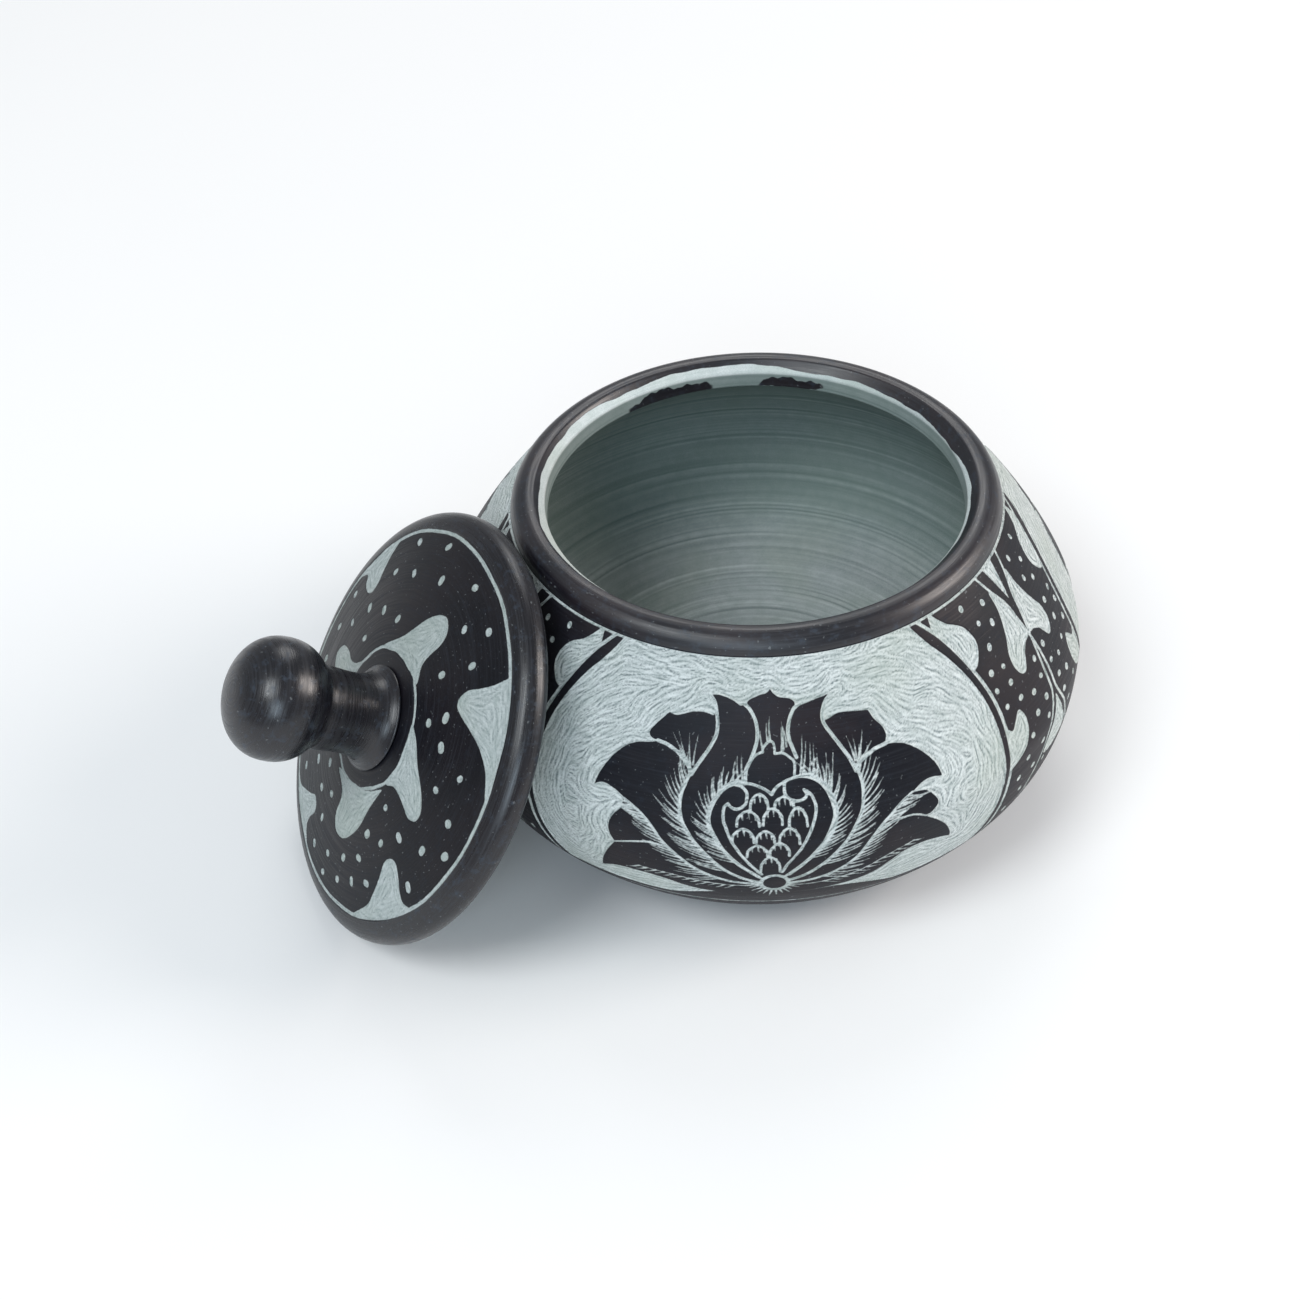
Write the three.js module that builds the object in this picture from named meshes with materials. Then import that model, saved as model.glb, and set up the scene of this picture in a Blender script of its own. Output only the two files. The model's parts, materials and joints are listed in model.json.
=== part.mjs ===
// A squat lidded jar. The pot stands on its foot and the loose lid leans against its side, with the
// edge of the disc on the ground. Millimetres, +Z up, origin at the middle of the foot's underside.
// Three separate pieces: the pot, the lid's disc and the knob that is set into the disc.

import * as THREE from 'three';

// Driving dimensions.
const HEIGHT = 71.4;          // ground to the crest of the rim
const BELLY_RADIUS = 70;      // widest part of the pot
const BELLY_HEIGHT = 34.7;    // where the wall is widest
const BELLY_BELOW = 15;       // length of the belly's upright handle below its widest line
const BELLY_ABOVE = 7.9;      // and above it
const WALL_START = { r: 66.9, z: 15.2 };    // what the wall heads for as it leaves the foot
const WALL_END = { r: 58, z: 60.7 };        // what it comes from as it meets the rim's band
const FOOT_RADIUS = 51;       // flat disc that the pot stands on
const FOOT_EDGE = { r: 58.4, z: 5.4 };       // turned edge above the foot's bevel
const BAND = { r: 51.2, z: 67.8 };          // lower edge of the rim's band
const BAND_SIDE = { r: 50.9, z: 69.8 };     // handle of the band's rounded outer side
const CREST_RADIUS = 47.2;    // highest line of the rim
const CREST_HANDLE = 2.1;
const BEVEL = { r: 46, z: 71.2 };           // outer edge of the seat that the lid wears bright
const MOUTH = { r: 43.95, z: 68.8 };        // inner edge of the seat, the narrowest opening
const NECK = { r: 43.6, z: 65.6 };          // lower end of the mouth's short straight wall
const CAVITY_RADIUS = 61.5;   // widest part of the hollow
const CAVITY_WIDE_Z = 39;
const CAVITY_ABOVE = 10;      // lengths of the hollow's upright handles at its widest line
const CAVITY_BELOW = 12;
const CAVITY_TOP = { r: 52, z: 60 };        // what the hollow heads for under the mouth
const CAVITY_HEEL = { r: 45, z: 13 };       // what it comes from as it reaches the floor
const FLOOR = { r: 30, z: 11 };            // where the hollow's wall turns into its floor
const FLOOR_CENTRE_Z = 10;

const LID_RADIUS = 45.1;
const LID_EDGE = 3.4;         // half the thickness of the disc's rounded edge
const EDGE_UNDER = { r: 44.3, z: 1.9 };     // handles of the disc's rounded edge: under it
const EDGE_OVER = { r: 43.2, z: 3.8, rise: 2.3 };          // and over it
const FACE_EDGE = { r: 40.8, z: 4.1 };      // outer end of the ornamented face
const FACE_DOME = [{ r: 32, z: 6.3 }, { r: 23, z: 8.4 }];  // handles of the face's low dome
const FACE_TOP = { r: 15, z: 9.2 };         // the face's crown, outside the knob's foot
const CROWN_Z = 9.9;
const PLUG_RADIUS = 38;       // low step turned under the disc, inside the mouth when closed
const PLUG_DEPTH = 2.3;
const PLUG_CHAMFER = 0.8;
const DISH = { r: 24, depth: 1.2 };         // shallow turned dish in the plug's face

const KNOB_BALL = { radius: 12.5, half: 9.7, z: 31.9, power: 2.25 };
const KNOB_CREASE = { r: 8.8, neck: 8.7, drop: 0.8 };      // where the neck runs into the ball
const KNOB_NECK = { r: 8.3, z: 17, above: 2, below: 4 };   // narrowest part, and its handles
const KNOB_FOOT = { r: 11, sweep: 2, rise: 1 };            // flared foot, and its handle
const SPIGOT = { r: 5, depth: 5.5 };        // stub that holds the knob in the disc

const LEAN_AZIMUTH = THREE.MathUtils.degToRad(204.9);   // the way the knob points, seen from above
const LEAN_TILT = THREE.MathUtils.degToRad(34.5);       // how far the knob points up
const LEAN_ASIDE = 4.7;       // how far the disc has rolled sideways from the pot's centre line

const GAP = 0.3;              // left between pieces that touch
const AROUND = 72;            // facets round the pot and the disc
const AROUND_KNOB = 40;
const POT_CURVE_STEPS = 8;    // straight steps in each curve of an outline
const LID_CURVE_STEPS = 6;
const KNOB_CURVE_STEPS = 5;
const BALL_STEPS = 14;

const fired = (colour, roughness) => new THREE.MeshStandardMaterial({
  color: new THREE.Color(...colour),
  roughness,
  metalness: 0,
});

// Turns an outline of (radius, height) points about the Z axis.
function turned(name, outline, facets, material) {
  const geometry = new THREE.LatheGeometry(outline, facets);
  geometry.rotateX(Math.PI / 2);
  const mesh = new THREE.Mesh(geometry, material);
  mesh.name = name;
  return mesh;
}

// Carries an outline on along a curve, past two handles, to a point.
function bend(path, leaving, arriving, end) {
  path.bezierCurveTo(leaving.r, leaving.z, arriving.r, arriving.z, end.r, end.z);
}

// The wall from the middle of the underside, up the outside, over the rim and down the hollow.
function potOutline() {
  const path = new THREE.Path();
  path.moveTo(0, 0);
  path.lineTo(FOOT_RADIUS, 0);
  path.lineTo(FOOT_EDGE.r, FOOT_EDGE.z);
  bend(path, WALL_START, { r: BELLY_RADIUS, z: BELLY_HEIGHT - BELLY_BELOW },
    { r: BELLY_RADIUS, z: BELLY_HEIGHT });
  bend(path, { r: BELLY_RADIUS, z: BELLY_HEIGHT + BELLY_ABOVE }, WALL_END, BAND);
  bend(path, BAND_SIDE, { r: CREST_RADIUS + CREST_HANDLE, z: HEIGHT },
    { r: CREST_RADIUS, z: HEIGHT });
  path.lineTo(BEVEL.r, BEVEL.z);
  path.lineTo(MOUTH.r, MOUTH.z);
  path.lineTo(NECK.r, NECK.z);
  bend(path, CAVITY_TOP, { r: CAVITY_RADIUS, z: CAVITY_WIDE_Z + CAVITY_ABOVE },
    { r: CAVITY_RADIUS, z: CAVITY_WIDE_Z });
  bend(path, { r: CAVITY_RADIUS, z: CAVITY_WIDE_Z - CAVITY_BELOW }, CAVITY_HEEL, FLOOR);
  path.lineTo(0, FLOOR_CENTRE_Z);
  return path.getPoints(POT_CURVE_STEPS);
}

// The disc, in its own frame: height 0 is the middle of the rounded edge, and the knob is above.
function lidOutline() {
  const underside = -LID_EDGE;
  const plugFace = underside - PLUG_DEPTH;
  const socketRadius = SPIGOT.r + GAP;
  const socketFloor = CROWN_Z - SPIGOT.depth - GAP;
  const path = new THREE.Path();
  path.moveTo(0, plugFace + DISH.depth);
  path.lineTo(DISH.r - DISH.depth, plugFace + DISH.depth);
  path.lineTo(DISH.r, plugFace);
  path.lineTo(PLUG_RADIUS - PLUG_CHAMFER, plugFace);
  path.lineTo(PLUG_RADIUS, plugFace + PLUG_CHAMFER);
  path.lineTo(PLUG_RADIUS, underside);
  bend(path, { r: EDGE_UNDER.r, z: underside }, { r: LID_RADIUS, z: -EDGE_UNDER.z },
    { r: LID_RADIUS, z: 0 });
  bend(path, { r: LID_RADIUS, z: EDGE_OVER.rise }, EDGE_OVER, FACE_EDGE);
  bend(path, ...FACE_DOME, FACE_TOP);
  path.lineTo(socketRadius, CROWN_Z);
  path.lineTo(socketRadius, socketFloor);
  path.lineTo(0, socketFloor);
  return path.getPoints(LID_CURVE_STEPS);
}

// One side of the knob's ball, a rounded drum, from its crease to its top on the axis.
function ballOutline(steps) {
  const { radius, half, z, power } = KNOB_BALL;
  const points = [];
  const start = -Math.acos(Math.pow(KNOB_CREASE.r / radius, power / 2));
  for (let i = 0; i <= steps; i += 1) {
    const angle = THREE.MathUtils.lerp(start, Math.PI / 2, i / steps);
    const across = Math.pow(Math.max(Math.cos(angle), 0), 2 / power);
    const along = Math.sign(angle) * Math.pow(Math.abs(Math.sin(angle)), 2 / power);
    points.push(new THREE.Vector2(i === steps ? 0 : radius * across, z + half * along));
  }
  return points;
}

// The knob, in the disc's frame: spigot, flared foot, neck, crease and ball.
function knobOutline() {
  const footZ = CROWN_Z + GAP;
  const ball = ballOutline(BALL_STEPS);
  const crease = { r: KNOB_CREASE.neck, z: ball[0].y - KNOB_CREASE.drop };
  const neck = KNOB_NECK;
  const path = new THREE.Path();
  path.moveTo(0, CROWN_Z - SPIGOT.depth);
  path.lineTo(SPIGOT.r, CROWN_Z - SPIGOT.depth);
  path.lineTo(SPIGOT.r, footZ);
  path.lineTo(KNOB_FOOT.r, footZ);
  bend(path, { r: KNOB_FOOT.r - KNOB_FOOT.sweep, z: footZ + KNOB_FOOT.rise },
    { r: neck.r, z: neck.z - neck.below }, neck);
  bend(path, { r: neck.r, z: neck.z + neck.above }, { r: crease.r, z: crease.z - neck.above },
    crease);
  return [...path.getPoints(KNOB_CURVE_STEPS), ...ball];
}

// How far an outline turned about Z reaches along a direction that is tilted up by an angle.
function reach(outline, tilt) {
  return Math.max(...outline.map((p) => p.x * Math.cos(tilt) + p.y * Math.sin(tilt)));
}

// Where the disc's centre is when its edge is on the ground and its plug's face on the pot's wall.
function leaningCentre(pot, disc) {
  const z = reach(disc, -LEAN_TILT);
  const alongAxis = reach(pot, LEAN_TILT) + LID_EDGE + PLUG_DEPTH + GAP;
  const outward = (alongAxis - z * Math.sin(LEAN_TILT)) / Math.cos(LEAN_TILT);
  const centre = new THREE.Vector3(outward, LEAN_ASIDE, z);
  return centre.applyAxisAngle(new THREE.Vector3(0, 0, 1), LEAN_AZIMUTH);
}

const blackSlip = fired([0.012, 0.013, 0.018], 0.42);
const potShape = potOutline();
const lidShape = lidOutline();
const jar = new THREE.Group();
jar.add(turned('pot_body', potShape, AROUND, blackSlip));

const lidGroup = new THREE.Group();
lidGroup.add(turned('lid', lidShape, AROUND, blackSlip));
lidGroup.add(turned('lid_knob', knobOutline(), AROUND_KNOB, blackSlip));
lidGroup.rotation.set(0, Math.PI / 2 - LEAN_TILT, LEAN_AZIMUTH, 'ZYX');
lidGroup.position.copy(leaningCentre(potShape, lidShape));
jar.add(lidGroup);

export default jar;
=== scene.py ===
"""A squat lidded jar: grey-green body under black slip, with ornament scraped through the slip.

The pot, the lid's disc and its knob are turned from outlines in millimetres. The ornament is drawn
on flat sheets as signed distances in millimetres, laid on the turned surfaces, and sunk into them.
"""
import json
import math

import bpy
import numpy as np
from mathutils import Matrix, Vector


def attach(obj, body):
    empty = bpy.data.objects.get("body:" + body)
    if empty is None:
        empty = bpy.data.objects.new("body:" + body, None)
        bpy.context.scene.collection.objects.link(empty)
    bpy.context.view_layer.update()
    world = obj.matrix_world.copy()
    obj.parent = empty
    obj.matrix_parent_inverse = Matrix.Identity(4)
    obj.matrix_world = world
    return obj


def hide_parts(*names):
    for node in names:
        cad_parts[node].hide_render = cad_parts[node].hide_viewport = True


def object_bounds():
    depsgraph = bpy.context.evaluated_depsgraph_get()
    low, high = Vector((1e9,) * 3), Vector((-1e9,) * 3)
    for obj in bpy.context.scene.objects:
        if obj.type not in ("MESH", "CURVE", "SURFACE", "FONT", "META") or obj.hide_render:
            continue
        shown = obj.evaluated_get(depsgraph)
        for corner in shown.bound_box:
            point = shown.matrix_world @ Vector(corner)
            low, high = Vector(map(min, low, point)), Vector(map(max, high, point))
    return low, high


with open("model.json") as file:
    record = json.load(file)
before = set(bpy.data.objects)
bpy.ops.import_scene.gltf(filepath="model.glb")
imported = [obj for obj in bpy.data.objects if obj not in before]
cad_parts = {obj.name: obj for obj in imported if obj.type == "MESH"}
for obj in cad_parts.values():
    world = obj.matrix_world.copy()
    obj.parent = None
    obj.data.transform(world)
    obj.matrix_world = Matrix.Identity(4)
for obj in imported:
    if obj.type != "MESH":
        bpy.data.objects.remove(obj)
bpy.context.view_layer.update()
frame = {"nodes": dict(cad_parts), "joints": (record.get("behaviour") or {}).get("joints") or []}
random = np.random.default_rng(7)
MM = 0.001

# ---- driving sizes, millimetres ----
HEIGHT = 71.4
BELLY = (70.0, 34.7)
FOOT_RADIUS = 51.0
FOOT_EDGE = (58.4, 5.4)
BAND = (51.2, 67.8)
CREST = (47.2, HEIGHT)
BEVEL = (46.0, 71.2)        # outer edge of the seat
MOUTH = (43.95, 68.8)       # and its inner edge
NECK = (43.6, 65.6)
CAVITY = (61.5, 39.0)
FLOOR = (30.0, 11.0)
FLOOR_CENTRE = 10.0
# What the pot's curves head for as they leave and arrive.
WALL_START = (66.9, 15.2)
WALL_END = (58.0, 60.7)
BELLY_BELOW = 15.0
BELLY_ABOVE = 7.9
BAND_SIDE = (50.9, 69.8)
CREST_HANDLE = 2.1
CAVITY_TOP = (52.0, 60.0)
CAVITY_ABOVE = 10.0
CAVITY_BELOW = 12.0
CAVITY_HEEL = (45.0, 13.0)

LID_RADIUS = 45.08
LID_EDGE = 3.4
EDGE_UNDER = ((44.3, -LID_EDGE), (LID_RADIUS, -1.9))
EDGE_OVER = ((LID_RADIUS, 2.3), (43.2, 3.8))
FACE_EDGE = (40.8, 4.1)
FACE_TOP = (15.0, 9.2)
FACE_DOME = ((32.0, 6.3), (23.0, 8.4))
CROWN = (11.0, 9.65)
CROWN_CENTRE = 9.7
PLUG_RADIUS = 38.0
PLUG_DEPTH = 2.3
DISH_RADIUS = 24.0
DISH_DEPTH = 1.2
PLUG_CHAMFER = 0.8

BALL_RADIUS = 12.48
BALL_HALF = 9.7
BALL_HEIGHT = 31.9
BALL_POWER = 2.25
CREASE = (8.7, 23.7)
CREASE_RADIUS = 8.8
NECK_OF_KNOB = (8.3, 17.0)
KNOB_FOOT = (11.0, 10.2)
KNOB_BASE = 9.75
FOOT_HANDLES = ((9.0, 11.2), (8.3, 13.0))
NECK_HANDLES = ((8.3, 19.0), (8.7, 21.7))

# ---- resolution ----
CELL = 0.2                  # drawing grid of an ornament sheet
WALL_STEP = 0.25            # spacing of the wall's rings, and of the others
FACE_STEP = 0.3
EDGE_STEP = 0.35
KNOB_STEP = 0.4
HOLLOW_STEP = 0.45
PLAIN_STEP = 0.8
CROWN_STEP = 1.2
FOOT_STEP = 4.0
COLUMNS = 1680              # vertices round the pot, a whole number in each ornament repeat
LID_COLUMNS = 900
KNOB_COLUMNS = 160

# ---- ornament on the pot's wall ----
UNROLLED_RADIUS = 66.0      # radius at which the wall is laid flat
REPEATS = 3
REPEAT = 2 * math.pi * UNROLLED_RADIUS / REPEATS
LOTUS_AZIMUTH = 3.0 / UNROLLED_RADIUS      # the front flower's axis, towards +X from -Y
FAR = 9.0                   # a distance beyond any line's reach
SINK = 0.22                 # depth of the scraped areas
SCRATCH = 0.07              # depth of the hatching in them


# ---- curves ----
def bezier(a, b, c, d, count=60):
    """Points on a cubic curve, without its first one."""
    t = np.linspace(0, 1, count + 1)[1:, None]
    a, b, c, d = (np.array(p, float) for p in (a, b, c, d))
    return (1 - t) ** 3 * a + 3 * t * (1 - t) ** 2 * b + 3 * t * t * (1 - t) * c + t ** 3 * d


def curve(points, per_span=6):
    """A smooth line through the points."""
    p = np.array(points, float)
    if len(p) < 3:
        return p
    ends = np.vstack([2 * p[0] - p[1], p, 2 * p[-1] - p[-2]])
    t = np.linspace(0, 1, per_span, endpoint=False)[:, None]
    spans = []
    for p0, p1, p2, p3 in zip(ends, ends[1:], ends[2:], ends[3:]):
        bend = 2 * p0 - 5 * p1 + 4 * p2 - p3
        twist = 3 * p1 - p0 - 3 * p2 + p3
        spans.append(p1 + 0.5 * (t * (p2 - p0) + t * t * bend + t ** 3 * twist))
    return np.vstack(spans + [p[-1:]])


def circle(centre, radius):
    """A closed ring whose last point is its first."""
    angle = np.radians(np.arange(0, 361, 15))
    return np.stack([centre[0] + radius * np.cos(angle), centre[1] + radius * np.sin(angle)], -1)


def mirrored(points):
    """The points on the other side of the upright axis."""
    return np.array(points, float) * (-1, 1)


def even_steps(points, step):
    """The same line with points at an even spacing."""
    p = np.array(points, float)
    along = np.r_[0, np.cumsum(np.hypot(*np.diff(p, axis=0).T))]
    count = max(1, round(along[-1] / step))
    at = np.linspace(0, along[-1], count + 1)
    return np.stack([np.interp(at, along, p[:, 0]), np.interp(at, along, p[:, 1])], -1)


# ---- drawing ----
def blurred(field, times):
    """The field, each cell mixed with its neighbours `times` over."""
    for _ in range(times):
        for axis in (0, 1):
            padded = np.concatenate(
                [field.take([0], axis), field, field.take([-1], axis)], axis)
            low = padded.take(range(0, field.shape[axis]), axis)
            high = padded.take(range(2, field.shape[axis] + 2), axis)
            field = 0.25 * low + 0.5 * field + 0.25 * high
    return field


def inside_stroke(x, y, points, half_widths):
    """How far each place is inside a brush line of varying width."""
    best = np.full(x.shape, -1000.0)
    for a, b, wa, wb in zip(points, points[1:], half_widths, half_widths[1:]):
        dx, dy = b - a
        t = ((x - a[0]) * dx + (y - a[1]) * dy) / max(dx * dx + dy * dy, 1e-9)
        t = np.clip(t, 0, 1)
        away = np.hypot(x - a[0] - t * dx, y - a[1] - t * dy)
        best = np.maximum(best, wa + (wb - wa) * t - away)
    return best


def inside_outline(x, y, points):
    """Signed distance to a closed outline, positive inside."""
    closed = np.vstack([points, points[:1]])
    away = -inside_stroke(x, y, closed, np.zeros(len(closed)))
    within = np.zeros(x.shape, bool)
    for a, b in zip(closed, closed[1:]):
        if a[1] == b[1]:
            continue
        crosses = (a[1] > y) != (b[1] > y)
        within ^= crosses & (x < a[0] + (y - a[1]) * (b[0] - a[0]) / (b[1] - a[1]))
    return np.where(within, away, -away)


class Sheet:
    """A flat drawing: `cut` is how far each place is inside the scraped part, in millimetres."""

    def __init__(self, left, bottom, right, top, repeat=0.0):
        self.left = left
        self.bottom = bottom
        self.x = np.arange(left, right + CELL, CELL)
        self.y = np.arange(bottom, top + CELL, CELL)
        self.cut = np.full((len(self.y), len(self.x)), -FAR)
        self.shifts = (-repeat, 0.0, repeat) if repeat else (0.0,)
        self.hatching = np.zeros_like(self.cut)

    def windows(self, points, margin):
        """The parts of the sheet that a shape reaches, in each repeat: slices, shape and places."""
        for shift in self.shifts:
            moved = np.array(points, float) + (shift, 0)
            low = moved.min(0) - margin
            high = moved.max(0) + margin
            columns = slice(*np.searchsorted(self.x, (low[0], high[0])))
            rows = slice(*np.searchsorted(self.y, (low[1], high[1])))
            if columns.start < columns.stop and rows.start < rows.stop:
                x, y = np.meshgrid(self.x[columns], self.y[rows])
                yield (rows, columns), moved, x, y

    def line(self, points, width, end_width=None):
        """Cuts a line that may narrow towards its end."""
        halves = np.linspace(width, end_width or width, len(points)) / 2
        for window, moved, x, y in self.windows(points, 2.0):
            drawn = inside_stroke(x, y, moved, halves)
            self.cut[window] = np.maximum(self.cut[window], drawn)

    def scrape(self, points):
        """Takes the slip off inside an outline."""
        for window, moved, x, y in self.windows(points, 3.0):
            self.cut[window] = np.maximum(self.cut[window], inside_outline(x, y, moved))

    def leave(self, points):
        """Puts the slip back inside an outline."""
        for window, moved, x, y in self.windows(points, 3.0):
            self.cut[window] = np.minimum(self.cut[window], -inside_outline(x, y, moved))

    def hatch(self, length, level, contrast):
        """Short scratches that follow the edges of the scraped areas, and lie level far from them."""
        down, across = np.gradient(blurred(self.cut, 4))
        steep = np.hypot(down, across) + 1e-6
        angle = np.arctan2(across, -down)
        near = np.exp(-np.abs(self.cut) / 5.0) * np.minimum(steep * 4, 1)
        cosine = blurred(np.cos(2 * angle) * near + level, 60)
        sine = blurred(np.sin(2 * angle) * near, 60)
        patch = blurred(random.standard_normal(self.cut.shape), 90)
        angle = 0.5 * np.arctan2(sine, cosine) + 0.2 * patch / patch.std()
        grain = random.random(self.cut.shape)
        total = np.zeros_like(grain)
        rows, columns = np.indices(grain.shape)
        for direction in (1.0, -1.0):
            at_x = columns.astype(float)
            at_y = rows.astype(float)
            last_x = np.full(grain.shape, direction)
            last_y = np.zeros(grain.shape)
            for _ in range(int(length / CELL / 2)):
                i = np.clip(np.rint(at_y).astype(int), 0, grain.shape[0] - 1)
                j = np.clip(np.rint(at_x).astype(int), 0, grain.shape[1] - 1)
                total += grain[i, j]
                step_x = np.cos(angle[i, j])
                step_y = np.sin(angle[i, j])
                turn = np.where(step_x * last_x + step_y * last_y < 0, -1.0, 1.0)
                last_x = step_x * turn
                last_y = step_y * turn
                at_x += last_x
                at_y += last_y
        spread = total - blurred(total, 10)
        self.hatching = np.clip(0.6 + contrast * spread / spread.std(), 0, 1)

    def at(self, x, y, field):
        """A field's value at any places, by straight interpolation."""
        column = np.clip((x - self.left) / CELL, 0, len(self.x) - 1.001)
        row = np.clip((y - self.bottom) / CELL, 0, len(self.y) - 1.001)
        j = column.astype(int)
        i = row.astype(int)
        fx = column - j
        fy = row - i
        low = field[i, j] * (1 - fx) + field[i, j + 1] * fx
        high = field[i + 1, j] * (1 - fx) + field[i + 1, j + 1] * fx
        return low * (1 - fy) + high * fy


# ---- the pot's ornament, x from the flower's axis and y up the wall from the foot's edge ----
MEDALLION = [(36.3, 71.5), (40, 66), (43.5, 61.5), (46.5, 56), (48.5, 50), (49.3, 43.5),
             (49.3, 36), (49, 28.5), (47.5, 22), (44, 13.5)]
MEDALLION_LINE = [(38.6, 71.5), (43.2, 66.5), (46.3, 61.5), (48.7, 56), (50.5, 50), (51.2, 43.5),
                  (51, 36), (50.5, 28.5), (49.4, 22), (46.4, 13)]

# The flower's silhouette, from its top clockwise, as smooth runs between its corners.
RIGHT_RUNS = [
    [(0, 65), (0.7, 64), (2.2, 63.2), (4.2, 62.9), (5.2, 62.2), (5.3, 61.5)],
    [(6.3, 61.3), (9.5, 62.1), (12, 62.6), (14.7, 63.3)],
    [(14.7, 63.3), (12.3, 61.3), (11.5, 59.6), (11.5, 57.9)],
    [(12.5, 58.2), (15, 58.9), (19, 58.4), (21.2, 58.1)],
    [(21.2, 58.1), (22, 56.2), (23.5, 54.3), (23.9, 52.4), (23.3, 50.7)],
    [(23.3, 50.7), (26, 50.2), (28.5, 48.9), (31, 46.5), (33, 43.5), (33.9, 40.3)],
    [(33.9, 40.3), (31.5, 41), (29.5, 40.8), (27.2, 39.6)],
    [(27.2, 39.4), (29.8, 38.9), (31.2, 37.4), (32.2, 35.2), (30.6, 33.4), (29, 33.2)],
    [(29, 33.2), (32, 30.5), (34.2, 27.7), (35.4, 24.9), (35.6, 23.3)],
    [(35.6, 23.3), (33.6, 24.3), (29.5, 25.3), (25.7, 24.8), (22.6, 22.8), (19.5, 20.5),
     (15.7, 18.9), (10.7, 18), (5, 17.6), (0, 17.4)],
]
LEFT_RUNS = [
    [(0, 65), (-0.7, 64.2), (-2.5, 63.7), (-4.6, 62.9), (-5.3, 61.9)],
    [(-6.6, 61.7), (-8.5, 62.8), (-11, 63.5), (-13.6, 63.6)],
    [(-13.6, 63.6), (-12.3, 61.8), (-11.9, 60.2), (-12.4, 59.5)],
    [(-12.4, 59.5), (-14.2, 60), (-17, 59.8), (-20.3, 58.7), (-22, 59)],
    [(-22, 59), (-24.2, 56.6), (-25.5, 54.8), (-25.3, 53.6), (-23.5, 53)],
    [(-23.5, 53), (-25.5, 52.4), (-28, 51.8), (-30.5, 50.2), (-33, 47), (-34.6, 43.5), (-35.3, 40.8)],
    [(-35.3, 40.8), (-33.6, 41.8), (-31.1, 41.3), (-29, 40.2)],
    [(-29, 39.6), (-29.2, 37.7), (-30.6, 35.8), (-31.6, 33), (-31.5, 30.5), (-30.6, 28.3)],
    [(-30.6, 28.3), (-32.4, 24.9), (-33.8, 21.5), (-34.6, 18)],
    [(-34.6, 18), (-32, 19.6), (-29, 20.4), (-25, 20.5), (-21, 19.9), (-17.5, 18.6),
     (-13.6, 17.6), (-7, 17.3), (0, 17.4)],
]

HEART_RIGHT = [(-0.3, 44.3), (0.6, 45.7), (2.5, 46.9), (5, 47.6), (7.5, 47.1), (9.5, 45.5),
               (10.8, 43), (11.4, 40), (11.2, 38), (9.8, 34.4), (8.2, 31.5), (6, 28.3), (2.2, 24)]
HEART_LEFT = [(-0.3, 44.3), (-1.3, 45.2), (-3, 46.1), (-5, 46.6), (-7.5, 46.4), (-9.5, 45.2),
              (-11, 43), (-11.9, 40.5), (-12, 38), (-10.6, 34.5), (-8.8, 31), (-6.5, 27.8), (-2.6, 23.5)]
CURL_RIGHT = [(2.2, 46.7), (2.2, 44.6), (2.8, 43.5), (4, 42.8), (5.2, 42.8), (6.2, 43.4),
              (6.3, 44.2), (5.9, 44.9)]
CURL_LEFT = [(-7.2, 46.3), (-6, 45.9), (-5.2, 45), (-5, 44), (-5.2, 42.6), (-6, 41.7),
             (-7, 41.3), (-8, 41.7), (-8.6, 42.4)]
INNER_RIGHT = [(6.2, 44.7), (7.3, 43.6), (8, 41), (7.4, 38), (6.2, 34.8), (5, 32), (3.8, 29.8),
               (2.4, 27.5), (1.5, 25.3)]
INNER_LEFT = [(-8.5, 42.3), (-9.3, 41.6), (-9.4, 39), (-8.8, 37), (-8.1, 34.9), (-7, 32.5),
              (-5.8, 30), (-4.3, 27.5), (-2.3, 24.6)]
# Each scale's crown, half width and height.
SCALES = [(-2.7, 44.5, 1.7, 3.2), (2.0, 43.8, 1.8, 2.2), (-4.8, 41.0, 2.1, 3.3),
          (-0.2, 41.5, 1.8, 3.6), (4.5, 41.4, 1.7, 4.2), (-5.7, 37.2, 2.0, 3.2),
          (-1.6, 36.7, 1.7, 2.8), (2.8, 37.2, 1.9, 4.0), (-3.1, 33.3, 1.9, 3.3),
          (1.0, 33.8, 1.8, 3.7), (-0.7, 30.0, 1.8, 4.6)]

SPINE_1_LEFT = [(-6.5, 47), (-9, 46), (-10.9, 43.6), (-12, 41), (-12.2, 38), (-10.9, 34.7),
                (-9.1, 31.3), (-6.8, 28), (-3, 23.9)]
SPINE_1_RIGHT = [(6, 47.9), (8.5, 47), (10.4, 44.8), (11.5, 42), (11.8, 39), (10.8, 35.4),
                 (8.8, 31.9), (6.5, 28.7), (2.8, 24.4)]
SPINE_2_LEFT = [(-15.9, 48.4), (-16.9, 45.8), (-17.6, 43.3), (-17.7, 40.5), (-17.1, 37.7),
                (-15.5, 34.6), (-13.3, 31.1), (-11.1, 28), (-8.6, 25.2), (-5.6, 23.1), (-2.6, 21.8)]
SPINE_2_RIGHT = [(16.3, 48.4), (17.2, 45.5), (17.3, 42.4), (16.7, 38.9), (15.1, 35.5),
                 (13.2, 32), (10.8, 28.6), (8.2, 25.8), (5.4, 23.6), (2.7, 22.4)]
SPINE_3_LEFT = [(-28.8, 39.9), (-25.5, 38), (-23, 35.5), (-20.8, 32), (-18, 28.6), (-15.2, 25.8),
                (-12.1, 23.7), (-8, 22), (-2.6, 21.2)]
SPINE_3_RIGHT = [(27, 39.5), (24.8, 38.3), (22.4, 36.4), (20.1, 34.2), (18.6, 32), (17, 29.2),
                 (15.1, 26.5), (12.6, 24.4), (9.5, 22.7), (6, 21.7), (2.7, 21.4)]
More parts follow.
